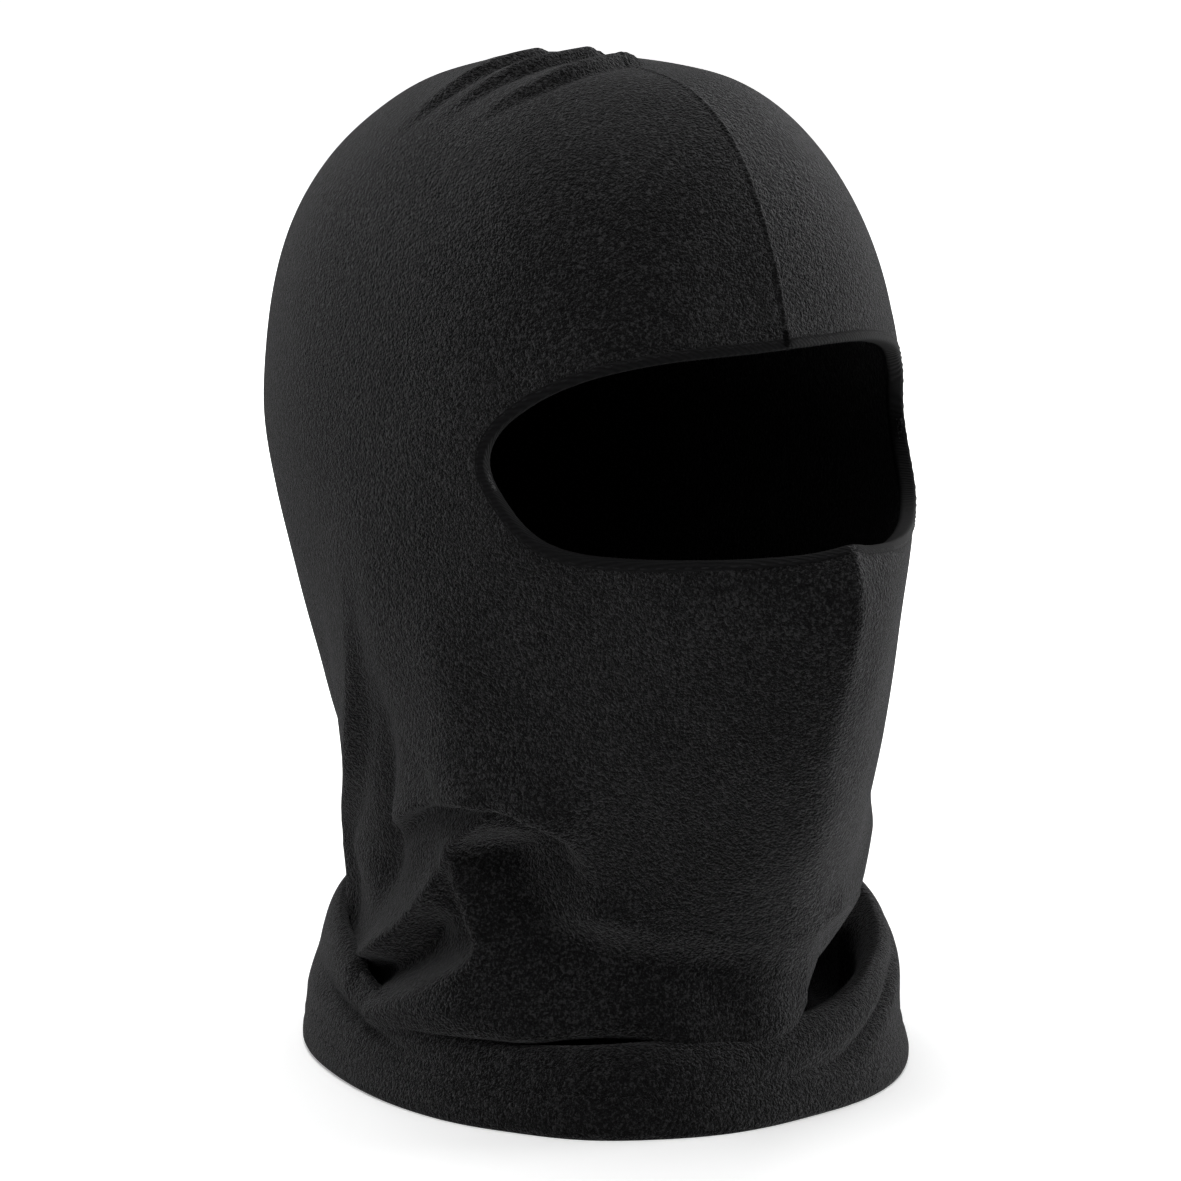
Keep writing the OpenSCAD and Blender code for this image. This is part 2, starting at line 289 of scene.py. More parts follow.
# Folds of the cloth from the crown down, then those of the collar, then the back and the left
FOLDS = [
    # pleats that end abruptly at the centre seam on top of the crown
    fold(on_crown((9, -6), (-1, -8), (-14, -12), (-26, -12), (-38, -8), (-50, -2)),
         3.0, 1.2, 6, 1.8, PLEAT_FADE, tuck=1.2),
    fold(on_crown((3, 4), (-9, 2), (-20, 1), (-30, 3), (-40, 6), (-52, 10)),
         3.0, 1.2, 6, 1.8, PLEAT_FADE, tuck=1.2),
    fold(on_crown((-6, 16), (-14, 14), (-25, 14), (-36, 16), (-46, 19), (-56, 24)),
         2.6, 1.2, 7, 1.8, PLEAT_FADE, tuck=1.0),
    # the cloth bridges the far temple
    fold(on_body((62, 214), (64, 190), (64, 170), (62, 150), (58, 126)), 4.5, 14, 14, 10, (0.3, 0.4)),
    fold(on_body((-62, 208), (-64, 190), (-64, 170), (-60, 150)), 1.5, 14, 14, 10, (0.3, 0.3)),
    # ridge over the nose and chin, with a crisp crease at the nose
    fold(on_body((0, 163), (-3, 140), (-5, 126), (-6, 112), (-2, 95), (3, 76), (6, 60)),
         2.2, 8, 10, 2.5, (0.0, 0.3)),
    fold(on_body((-1, 163), (-4, 142), (-6, 126), (-7, 114)), 2.6, 3.0, 5, 0.8, (0.0, 0.6)),
    # long crease down the side of the neck, the valley in front of it and the hollow behind it
    fold(on_body((-97, 153), (-98, 134), (-101, 111), (-110, 82), (-122, 63), (-123, 49), (-120, 18)),
         3.2, 3.0, 9, 1.2, (0.4, 0.1), levels=SKIRT, tuck=1.2),
    fold(on_body((-108, 150), (-114, 120), (-124, 90), (-136, 66), (-138, 40)),
         -3.0, 9, 12, 6, (0.4, 0.2)),
    fold(on_body((-92, 126), (-94, 102), (-97, 78), (-98, 60), (-104, 43)),
         -6.5, 9, 6, 3, (0.5, 0.2)),
    # soft plateau below the ear, widening towards the jaw
    fold(on_body((-80, 150), (-79, 130), (-77, 112), (-77, 95), (-80, 88)), 4.0, 12, 12, 6, (0.5, 0.2)),
    # slack lip under the jaw and the deep hollow below it
    fold(on_body((-97, 64), (-94, 72), (-89, 80), (-82, 87), (-75, 91), (-68, 91), (-62, 87), (-57, 80),
                 (-53, 71), (-50, 62)),
         7.0, 11, 2.0, 2.0, (0.25, 0.35), sag=3.0, tuck=2.6),
    fold(on_body((-70, 82), (-66, 70), (-61, 59), (-52, 50), (-40, 45), (-20, 43), (2, 45), (14, 49)),
         -6.5, 12, 9, 6, (0.1, 0.3)),
    # forked fold from the lip down to the collar, with a dark gap between its two legs
    fold(on_body((-67, 89), (-71, 83), (-76, 75), (-79, 64), (-84, 53), (-92, 42), (-103, 33),
                 (-120, 25)),
         7.5, 4, 5, 1.0, (0.06, 0.12), levels=SKIRT),
    fold(on_body((-88, 47), (-97, 38), (-108, 31), (-122, 25)), 2.5, 4, 9, 3, (0.4, 0.1), levels=SKIRT),
    fold(on_body((-76, 75), (-74, 64), (-71, 55), (-68, 49), (-68, 44), (-73, 38), (-82, 31), (-98, 24),
                 (-120, 17)),
         8.0, 10, 2.4, 1.2, (0.12, 0.1), levels=SKIRT, tuck=2.0),
    fold(on_body((-77, 56), (-81, 44), (-88, 35), (-99, 29)),
         -6.0, 4, 4, 2.5, (0.3, 0.2), levels=SKIRT),
    # skirt of the neck hanging over the collar's roll, with a pocket under it
    fold(on_body((-98, 21), (-84, 24), (-68, 26), (-56, 27), (-40, 27), (-22, 27), (-8, 27), (6, 26),
                 (18, 25)),
         13.0, 13, 2.5, 5, (0.1, 0.2), levels=SKIRT),
    fold(on_body((-50, 16), (-36, 23), (-18, 22)), -9.0, 4, 8, 4, (0.35, 0.35), levels=SKIRT),
    # lower edge of the chin on the wearer's left, the throat drawn in below it, and its short fold
    fold(on_body((60, 82), (48, 66), (38, 52), (29, 42), (18, 35), (8, 29), (-8, 21)),
         4.0, 2.5, 9, 2.5, (0.2, 0.2), levels=SKIRT, tuck=1.5),
    fold(on_body((90, 66), (72, 54), (58, 42), (44, 31), (28, 20), (10, 13)),
         -16.5, 13, 11, 11, (0.25, 0.2), levels=SKIRT),
    fold(on_body((70, 44), (62, 34), (52, 26)), 4.0, 4, 5, 2, (0.3, 0.3), levels=SKIRT),
    # collar: a notch in its inner roll and a pleat inside the far side
    fold(on_collar((-98, 17.2), (-87, 18.4)), -3.0, 4, 4, 2, (0.3, 0.3), levels=COLLAR),
    fold(on_collar((61, 15.2), (63, 16.6), (65, 18.0)), 3.5, 3, 4, 1.5, (0.2, 0.3), levels=RING),
    # back and left of the neck
    fold(on_body((150, 130), (144, 104), (136, 80), (124, 58), (112, 40)),
         4.0, 4, 10, 2, (0.5, 0.2), tuck=0.8),
    fold(on_body((-160, 120), (-156, 96), (-158, 72), (-166, 50)),
         3.5, 9, 4, 2, (0.5, 0.2), tuck=0.8),
    fold(on_body((92, 150), (97, 124), (102, 98), (108, 74), (112, 52)),
         3.5, 8, 3, 2, (0.5, 0.2), tuck=0.8),
    fold(on_body((58, 72), (68, 80), (78, 82), (90, 76)),
         4.0, 8, 2.5, 1.6, (0.3, 0.3), sag=1.5, tuck=1.0),
    fold(on_body((70, 80), (76, 62), (86, 46), (98, 32)),
         4.5, 2.5, 7, 1.2, (0.12, 0.2), levels=SKIRT, tuck=1.0),
    fold(on_body((-178, 60), (176, 52), (166, 46), (150, 44)), 3.5, 4, 6, 2, (0.3, 0.3)),
    fold(on_body((-150, 40), (-168, 33), (172, 31), (150, 36)),
         4.0, 5, 6, 2.5, (0.3, 0.3), levels=SKIRT),
]

# Relief of the centre seam, and the levels over which it fades on the brow, the neck and the crown
SEAM_RIDGE = 1.9
SEAM_REACH = 10.0
SEAM_CREST = 0.5
SEAM_BEAD = 0.22
SEAM_GROOVE_AT = -1.1
SEAM_BROW = (5.2, 5.6)
SEAM_NECK = (17.5, 18.5)
SEAM_CROWN = (0.3, 2.5)


def seam_relief(points, s, a):
    """The centre seam: the two halves of the hood meet at it like a low roof, with a fine bead
    along the top and a narrow groove beside the bead."""
    x = points[:, 0]
    front = np.cos(np.radians(a)) > 0
    shown = np.where(front, 1 - smooth(*SEAM_BROW, s), 1 - smooth(*SEAM_NECK, s))
    rounded = np.sqrt(x * x + SEAM_CREST**2) - SEAM_CREST
    ridge = SEAM_RIDGE * smooth(*SEAM_CROWN, s) * np.exp(-rounded / SEAM_REACH)
    groove = np.exp(-(((x - SEAM_GROOVE_AT) / 0.6) ** 2))
    bead = SEAM_BEAD * (np.exp(-((x / 0.5) ** 2)) - groove)
    return shown * (ridge + bead)


# Slow unevenness of the cloth: (x, y, z wave numbers, in WAVE_UNIT, phase, height)
WAVE_UNIT = 2 * MM
WAVES = [
    (31, -22, 17, 0.4, 0.35), (-19, 27, 38, 2.1, 0.30), (44, 36, -25, 4.0, 0.22),
    (-57, 41, 33, 1.2, 0.16), (63, -70, 48, 5.1, 0.10), (-88, -52, 79, 3.3, 0.07),
]


def wave_relief(points):
    """Height of the slow unevenness at each point."""
    total = np.zeros(len(points))
    for kx, ky, kz, phase, height in WAVES:
        total += height * np.sin((points @ np.array([kx, ky, kz])) * WAVE_UNIT + phase)
    return total


HEM_ROW_GROOVE = 0.45


def collar_relief(s, a):
    """The collar's crease between its bulging roll and its flared skirt, and its two stitched rows."""
    right_back = np.exp(-(((a + 100) / 20) ** 2))
    left_front = np.exp(-(((a - 32) / 26) ** 2))
    crease_at = np.where(a < -40, 19.6, np.interp(a, [16, 41], [19.8, 18.8]))
    crease = (2.6 * right_back + 3.0 * left_front) * np.exp(-(((s - crease_at) / 0.24) ** 2))
    roll = (1.0 * right_back + 1.4 * left_front) * np.exp(-(((s - crease_at + 0.95) / 0.5) ** 2))
    rows = sum(HEM_ROW_GROOVE * np.exp(-(((s - hem_row(a, up)) / 0.08) ** 2)) for up in HEM_ROWS)
    return roll - crease - rows


def hem_row(a, up):
    """Level of a stitched hem row, a given distance above the edge of the collar."""
    return HEM - up / cloth(np.full_like(a, HEM - 1.0), a)[..., 2]


def sculpt(s, a):
    """Outer face of the cloth with all its folds, in millimetres."""
    s, a = np.broadcast_arrays(np.asarray(s, float), np.asarray(a, float))
    shape = s.shape
    s, a = s.ravel(), a.ravel()
    points = cloth(s, a)
    normals = normal_of(cloth, s, a)
    points = np.where(s[:, None] < 0.01, cloth(np.zeros(1), np.zeros(1)), points)
    normals[s < 0.01] = (0, 0, 1)
    height = seam_relief(points, s, a) + wave_relief(points) + collar_relief(s, wrapped(a))
    drop = np.zeros(len(s))
    for f in FOLDS:
        part = fold_relief(f, points, normals, s)
        height += part
        drop += f["sag"] * part / f["height"]
    out = points + (height + FLEECE / 2)[:, None] * normals
    out[:, 2] -= drop
    return out.reshape(shape + (3,))


# ---- the face opening ----

def end_share(a):
    """How far an angle lies from the middle of the opening towards its end, from 0 to 1."""
    return np.minimum(np.abs(wrapped(a)) / OPENING_TURN, 1)


def opening_edge(a, side):
    """Level of the lower (side -1) or upper (side 1) edge of the opening at angle a."""
    middle = OPENING_MID - OPENING_DROOP * end_share(a) ** 3
    half = OPENING_HEIGHT / 2 * (1 - end_share(a) ** OPENING_POWER) ** (1 / OPENING_POWER)
    return level_of_height(middle + side * half)


# ---- mesh helpers ----

def mesh_object(name, points_mm, faces, material):
    """A closed, smooth shaded mesh in metres, with its faces turned outward."""
    mesh = bpy.data.meshes.new(name)
    mesh.from_pydata((np.asarray(points_mm) * MM).tolist(), [], [list(map(int, f)) for f in faces])
    mesh.materials.append(material)
    bm = bmesh.new()
    bm.from_mesh(mesh)
    bmesh.ops.remove_doubles(bm, verts=bm.verts, dist=1e-6)
    bmesh.ops.dissolve_degenerate(bm, edges=bm.edges, dist=1e-7)
    if bm.calc_volume(signed=True) < 0:
        bmesh.ops.reverse_faces(bm, faces=bm.faces)
    bm.to_mesh(mesh)
    bm.free()
    mesh.polygons.foreach_set("use_smooth", [True] * len(mesh.polygons))
    obj = bpy.data.objects.new(name, mesh)
    bpy.context.scene.collection.objects.link(obj)
    return obj


def sweep(rings, closed):
    """Points and faces of a tube through rings of points, capped unless it closes on itself."""
    rings = np.asarray(rings)
    count, sides = rings.shape[:2]
    faces = []
    for i in range(count if closed else count - 1):
        j = (i + 1) % count
        for k in range(sides):
            m = (k + 1) % sides
            faces.append((i * sides + k, i * sides + m, j * sides + m, j * sides + k))
    if not closed:
        faces.append(tuple(range(sides))[::-1])
        faces.append(tuple((count - 1) * sides + k for k in range(sides)))
    return rings.reshape(-1, 3), faces


def join_parts(parts):
    """One list of points and faces from several."""
    points, faces, base = [], [], 0
    for p, f in parts:
        points.append(p)
        faces += [tuple(base + i for i in face) for face in f]
        base += len(p)
    return np.vstack(points), faces


# ---- fleece shell ----

def spread(start, end, count):
    """Evenly spaced numbers from start, up to but without end."""
    return np.linspace(start, end, count, endpoint=False)


def column_angles():
    """Angles of the shell's columns, close together at the ends of the opening and at the seam. Their
    number is even, because the inner face uses every second one."""
    t = np.linspace(-1, 1, 117)
    front = OPENING_TURN * (0.45 * t + 0.55 * np.sin(math.pi / 2 * t))
    front[np.abs(front) < 1e-9] = 0
    seam = np.array([-1.1, -0.75, -0.45, -0.2, 0.2, 0.45, 0.75, 1.1])
    front = np.sort(np.concatenate([front, seam]))
    left = np.delete(spread(OPENING_TURN, 178.0, 60), (0, 21))
    back = 180 + np.array([-2.0, -1.3, -0.8, -0.35, 0, 0.35, 0.8, 1.3, 2.0])
    far = spread(182.5, 230.0, 30)
    right = spread(230.0, 360 - OPENING_TURN, 72)
    return np.concatenate([front, left, back, far, right])


def lower_rows(a):
    """Levels of an odd number of rows, from the hem up to the lower edge of the opening."""
    fixed = np.concatenate([
        HEM - np.array([0.0, 0.02, 0.06, 0.12, 0.2]), spread(20.7, 17.0, 36), spread(17.0, 13.4, 18),
        spread(13.4, CHIN, 72),
    ])
    face = CHIN + (opening_edge(a, -1)[None, :] - CHIN) * np.linspace(0, 1, 36)[:, None]
    return np.vstack([np.repeat(fixed[:, None], len(a), 1), face])


def upper_rows(a):
    """Levels of an odd number of rows, from the upper edge of the opening to the top."""
    share = np.linspace(0, 1, 23)[:, None]
    edge = opening_edge(a, 1)[None, :]
    crown = np.delete(spread(FOREHEAD, 1.0, 53), (0, 8))
    crown = np.concatenate([crown, spread(1.0, 0.0, 28), [0.0]])
    return np.vstack([edge + (FOREHEAD - edge) * share, np.repeat(crown[:, None], len(a), 1)])


HEM_EXTRA = 0.95
HEM_STEP = 0.06
HEM_EDGE = 20.5


def wall(s, a):
    """Outer and inner face of the cloth, which is double at the hem and rounded at its edge."""
    outer = sculpt(s, a)
    normals = unit(normal_of(cloth, s, a) + grid_normals(outer))
    for row in (0, -1):
        normals[row] = normal_of(sculpt, s[row], a[row])
    normals[s < 0.01] = (0, 0, 1)
    doubled = smooth(-HEM_STEP, HEM_STEP, s - hem_row(a, HEM_DEPTH))
    thick = FLEECE * (1 + HEM_EXTRA * doubled)
    inner = outer - thick[..., None] * normals
    z = np.clip(outer[..., 2], 0, FLEECE)
    rounded = FLEECE - np.sqrt(np.maximum(FLEECE**2 - (FLEECE - z) ** 2, 0))
    inset = np.where(s > HEM_EDGE, rounded, 0)
    outer = outer - inset[..., None] * normals
    inner = inner + inset[..., None] * normals
    for face in (outer, inner):
        face[..., 2] = np.where(s > HEM_EDGE, np.maximum(face[..., 2], 0), face[..., 2])
        face[..., 2] = np.where(s > HEM - 0.001, 0, face[..., 2])
    return outer, inner


def grid_normals(points):
    """Outward directions on a grid of rows from the hem up and columns round the hood."""
    across = np.roll(points, -1, 1) - np.roll(points, 1, 1)
    along = np.gradient(points, axis=0)
    return unit(np.cross(across, along))


def fleece_shell(material):
    """The hood, below and above the opening: an outer face, and an inner face on every second row
    and column, joined along the hem and the edge of the opening."""
    a = column_angles()
    columns = len(a)
    front = int(np.argmin(np.abs(a - OPENING_TURN)))
    points, faces, base = [], [], 0
    for index, s in enumerate([lower_rows(a), upper_rows(a)]):
        grid_a = np.repeat(a[None, :], len(s), 0)
        outer, inner = wall(s, grid_a)
        inner = inner[::2, ::2]
        rows, half_rows, half = len(s), inner.shape[0], inner.shape[1]
        points += [outer.reshape(-1, 3), inner.reshape(-1, 3)]
        out = base + np.arange(rows * columns).reshape(rows, columns)
        inn = base + rows * columns + np.arange(half_rows * half).reshape(half_rows, half)
        base += rows * columns + half_rows * half
        for grid, flip in ((out, False), (inn, True)):
            n = grid.shape[1]
            b, c = grid[:-1], grid[1:]
            quads = np.stack([b, np.roll(b, -1, 1), np.roll(c, -1, 1), c], -1).reshape(-1, 4)
            faces += (quads[:, ::-1] if flip else quads).tolist()
        edges = [(0, True, half)] if index == 0 else []
        edges.append((-1, False, front // 2) if index == 0 else (0, True, front // 2))
        for row, flip, cells in edges:
            for k in range(cells):
                ring = [out[row, 2 * k], out[row, 2 * k + 1], out[row, (2 * k + 2) % columns],
                        inn[row, (k + 1) % half], inn[row, k]]
                faces.append(ring[::-1] if flip else ring)
    return mesh_object("fleece_hood", np.vstack(points), faces, material)


# ---- bands that follow the opening ----

LOOP_STEP = 1.1
LOOP_SMOOTHINGS = 6


def opening_loop():
    """Points, inward directions and normals along the cloth's edge, evenly spaced."""
    turn = np.arange(0, 360, 0.25)
    a = -OPENING_TURN * np.cos(np.radians(turn))
    below = np.sin(np.radians(turn)) >= 0
    s = np.where(below, opening_edge(a, -1), opening_edge(a, 1))
    points = sculpt(s, a)
    run = run_along(np.vstack([points, points[:1]]))
    count = int(run[-1] / LOOP_STEP)
    at = np.arange(count) * run[-1] / count
    a2 = np.interp(at, run, np.append(a, a[0]))
    s2 = np.interp(at, run, np.append(s, s[0]))
    points = sculpt(s2, a2)
    normals = normal_of(sculpt, s2, a2)
    for _ in range(LOOP_SMOOTHINGS):
        points = (np.roll(points, 1, 0) + 2 * points + np.roll(points, -1, 0)) / 4
        normals = unit(np.roll(normals, 1, 0) + 2 * normals + np.roll(normals, -1, 0))
    along = unit(np.roll(points, -1, 0) - np.roll(points, 1, 0))
    normals = unit(normals - (normals * along).sum(1, keepdims=True) * along)
    return points, along, np.cross(along, normals), normals


# Across each band: distance into the cloth from its edge, and height above its outer face
BINDING_OUTLINE = [
    (1.9, -0.05), (1.95, 0.12), (1.7, 0.28), (1.1, 0.36), (0.3, 0.32), (-0.3, 0.15), (-0.6, -0.3),
    (-0.7, -1.0), (-0.7, -2.2), (-0.65, -3.2), (-0.35, -3.9), (0.6, -4.2), (2.4, -4.2), (4.0, -4.1),
    (4.5, -3.8), (4.4, -3.4), (2.4, -3.35), (0.4, -3.3), (-0.2, -2.7), (-0.3, -1.2), (-0.2, -0.4),
    (0.4, -0.1),
]


ELASTIC_OUTLINE = [
    (0.7, -3.15), (2.1, -3.2), (3.5, -3.15), (3.55, -2.95), (3.5, -2.8), (2.1, -2.75), (0.7, -2.8),
    (0.65, -2.95),
]


def opening_band(name, outline, material, loop):
    """A band with one outline across it, all round the opening."""
    points, _, into, out = loop
    rings = [p + outline[:, :1] * i + outline[:, 1:] * o for p, i, o in zip(points, into, out)]
    return mesh_object(name, *sweep(rings, True), material)


# ---- thread ----

# Radius of each thread, the sides of its mesh, and how deep the ends of a stitch dive
THREAD = 0.25
TACK_THREAD = 0.22
OVERLOCK_THREAD = 0.2
THREAD_SIDES = 6
STITCH_DIVE = 0.7


def thread_tube(path, radius, closed=False):
    """A thread through a list of points, which may run back to its start."""
    path = np.asarray(path, float)
    if closed:
        along = unit(np.roll(path, -1, 0) - np.roll(path, 1, 0))
    else:
        along = unit(np.gradient(path, axis=0))
    upright = np.abs(along[:, 2:]) > 0.9
    side = unit(np.cross(along, np.where(upright, (1.0, 0, 0), (0, 0, 1.0))))
    up = np.cross(side, along)
    angles = np.arange(THREAD_SIDES) * 2 * math.pi / THREAD_SIDES
    rings = [p + radius * (np.cos(angles)[:, None] * u + np.sin(angles)[:, None] * w)
             for p, u, w in zip(path, side, up)]
    return sweep(rings, closed)


def stitch(at, along, out, length, lift):
    """One stitch: a thread that rises out of the cloth, lies on it and dives back in."""
    t = np.linspace(-1, 1, 9)
    rise = lift - STITCH_DIVE * np.abs(t) ** 4
    return thread_tube(at + t[:, None] * length / 2 * along + rise[:, None] * out, THREAD)


BINDING_STITCHES = 105
BINDING_SEAM_AT = 1.2


def binding_stitches(material, loop):
    """A row of single stitches on the binding, a little way into the cloth from its edge."""
    points, along, into, out = loop
    parts = []
    for k in range(BINDING_STITCHES):
        i = int((k + 0.5) * len(points) / BINDING_STITCHES)
        at = points[i] + BINDING_SEAM_AT * into[i]
        parts.append(stitch(at, along[i], out[i], length=3.0, lift=0.28))
    return mesh_object("binding_seam_stitches", *join_parts(parts), material)


TACK_TURNS = 28
TACK_START = -1.0
TACK_LENGTH = 5.2
TACK_HALF_WIDTH = 0.95
TACK_LIFT = 0.56


def brow_bartack(material, loop):
    """Short dense zigzag across the binding, where the centre seam ends at the brow."""
    points, along, into, out = loop
    i = int(np.argmax(points[:, 2] - np.abs(points[:, 0])))
    t = np.arange(TACK_TURNS + 1)
    zig = np.where(t % 2 == 0, TACK_HALF_WIDTH, -TACK_HALF_WIDTH)
    run = TACK_START + t / TACK_TURNS * TACK_LENGTH
    path = points[i] + np.outer(zig, along[i]) + np.outer(run, into[i]) + TACK_LIFT * out[i]
    return mesh_object("brow_bar_tack", *thread_tube(path, TACK_THREAD), material)


# ---- hem stitches ----

HEM_STITCHES = 110
LOOPER_PLACES = (-0.42, -0.14, 0.14, 0.42)
LOOPER_WIDTH = 4.8
LOOPER_HALF_HEIGHT = 2.0
LOOPER_OFF = 2 * FLEECE + 0.35


def hem_frames(up):
    """Places, directions along and normals of the stitches of a row, a given height up the hem."""
    a = np.arange(HEM_STITCHES) * 360 / HEM_STITCHES
    s = hem_row(a, up)
    ahead, behind = sculpt(hem_row(a + 1, up), a + 1), sculpt(hem_row(a - 1, up), a - 1)
    return sculpt(s, a), unit(ahead - behind), normal_of(sculpt, s, a)


def hem_needle_stitches(material):
    """Two rows of single stitches on the outside of the hem."""
    parts = [stitch(p, t, n, 4.0, -0.1) for up in HEM_ROWS for p, t, n in zip(*hem_frames(up))]
    return mesh_object("hem_needle_seam", *join_parts(parts), material)


def hem_looper_thread(material):
    """Looper thread on the inside of the hem, laced from one needle row to the other."""
    p, t, n = hem_frames(sum(HEM_ROWS) / 2)
    up = np.cross(n, t)
    path = []
    for k in range(HEM_STITCHES):
        lean = 1.0 if k % 2 == 0 else -1.0
        for share in LOOPER_PLACES:
            swing = math.sin(share * math.pi / (2 * LOOPER_PLACES[-1]))
            height = lean * LOOPER_HALF_HEIGHT * swing
            path.append(p[k] + share * LOOPER_WIDTH * t[k] + height * up[k] - LOOPER_OFF * n[k])
    return mesh_object("hem_looper_seam", *thread_tube(path, THREAD, closed=True), material)


# ---- centre seam on the inside ----

LEVEL_STEP = 0.02
SEAM_FROM_BROW = 0.22


def seam_line(step=1.6):
    """Points and outward normals along the centre seam, from the brow over the crown to the neck."""
    brow = float(opening_edge(np.zeros(1), 1)[0])
    front = np.arange(brow - SEAM_FROM_BROW, LEVEL_STEP, -LEVEL_STEP)
    back = np.arange(LEVEL_STEP, NECK_FOLD, LEVEL_STEP)
    s = np.concatenate([front, [0.0], back])
    a = np.concatenate([np.zeros(len(front) + 1), np.full(len(back), 180.0)])
    points = cloth(s, a)
    normals = normal_of(cloth, s, a)
    normals[np.abs(s) < 0.03] = (0, 0, 1)
    run = run_along(points)
    at = np.linspace(0, run[-1], int(run[-1] / step))
    points = np.column_stack([np.interp(at, run, points[:, k]) for k in range(3)])
    normals = unit(np.column_stack([np.interp(at, run, normals[:, k]) for k in range(3)]))
    points[:, 0] = 0
    normals[:, 0] = 0
    return points, unit(normals)


ACROSS = np.array([1.0, 0, 0])
SEAM_OFF = 1.75
SEAM_THICK = 2.0
SEAM_HALF_WIDTH = 3.0
# Across the seam allowance: distance from the middle, and height below the middle of the cloth
SEAM_OUTLINE = [
    (-SEAM_HALF_WIDTH, -SEAM_OFF - 1.0), (-2.6, -SEAM_OFF - 1.8), (-1.2, -SEAM_OFF - SEAM_THICK),
    (1.2, -SEAM_OFF - SEAM_THICK), (2.6, -SEAM_OFF - 1.8), (SEAM_HALF_WIDTH, -SEAM_OFF - 1.0),
    (2.7, -SEAM_OFF - 0.1), (1.2, -SEAM_OFF), (0.0, -SEAM_OFF - 0.05), (-1.2, -SEAM_OFF),
    (-2.7, -SEAM_OFF - 0.1),
]


def centre_seam(material):
    """The seam allowance under the centre seam, a little uneven in its width."""
    outline = curve_closed(SEAM_OUTLINE, 2)
    rings = []
    for k, (p, n) in enumerate(zip(*seam_line())):
        swell = 1 + 0.05 * math.sin(k * 2.3)
        rings.append(p + outline[:, :1] * swell * ACROSS + outline[:, 1:] * n)
    return mesh_object("centre_seam_allowance", *sweep(rings, False), material)


def centre_seam_threads(material):
    """Overlock thread laced from side to side over the seam allowance."""
    path = []
    for k, (p, n) in enumerate(zip(*seam_line(0.8))):
        u = SEAM_HALF_WIDTH * math.sin(k * math.pi / 3)
        depth = SEAM_OFF + SEAM_THICK + 0.15 - 0.35 * (abs(u) / SEAM_HALF_WIDTH) ** 4
        path.append(p + u * ACROSS - depth * n)
    return mesh_object("centre_seam_overlock_thread", *thread_tube(path, OVERLOCK_THREAD), material)


# ---- care label ----

LABEL_LENGTH = 32.0
LABEL_WIDTH = 20.0
LABEL_THICK = 0.8
LABEL_TAPE = 0.28
LABEL_CURL = 0.9
LABEL_LEAN = 17.0


def care_label(material):
    """A folded satin tape caught in the seam at the nape, a little curled along its length."""
    joint = next(j for j in frame["joints"] if j["name"] == "care_label_swing")
    hinge, axis = np.array(joint["pos_m"]) / MM, np.array(joint["axis"])
    lean = math.radians(LABEL_LEAN)
    out_x = math.cos(lean) * ACROSS + math.sin(lean) * np.cross(axis, ACROSS)
    out_y = np.cross(axis, out_x)
    half = LABEL_THICK / 2
    lengths = np.concatenate([[0.6], np.linspace(1.6, LABEL_LENGTH - 1.2, 16)])
    turn = np.radians(np.linspace(90, -90, 7))
    tip = LABEL_LENGTH - half
    outline = []
    for radius, way in ((half, 1), (half - LABEL_TAPE, -1)):
        outline += [(x, way * radius) for x in lengths]
        outline += [(tip + radius * math.cos(t), way * radius * math.sin(t)) for t in turn]
        outline += [(x, -way * radius) for x in lengths[::-1]]
    outline = np.array(outline)
    rings = []
    for w in np.linspace(-LABEL_WIDTH / 2, LABEL_WIDTH / 2, 15):
        bend = LABEL_CURL * np.sin(outline[:, 0] / LABEL_LENGTH * math.pi)
        bend = bend * (1 - (w / LABEL_WIDTH) ** 2 * 1.5)
        rise = (outline[:, 1] + bend)[:, None]
        rings.append(hinge + w * axis + outline[:, :1] * out_x + rise * out_y)
    return mesh_object("nape_care_label", *sweep(rings, False), material)


# ---- materials ----

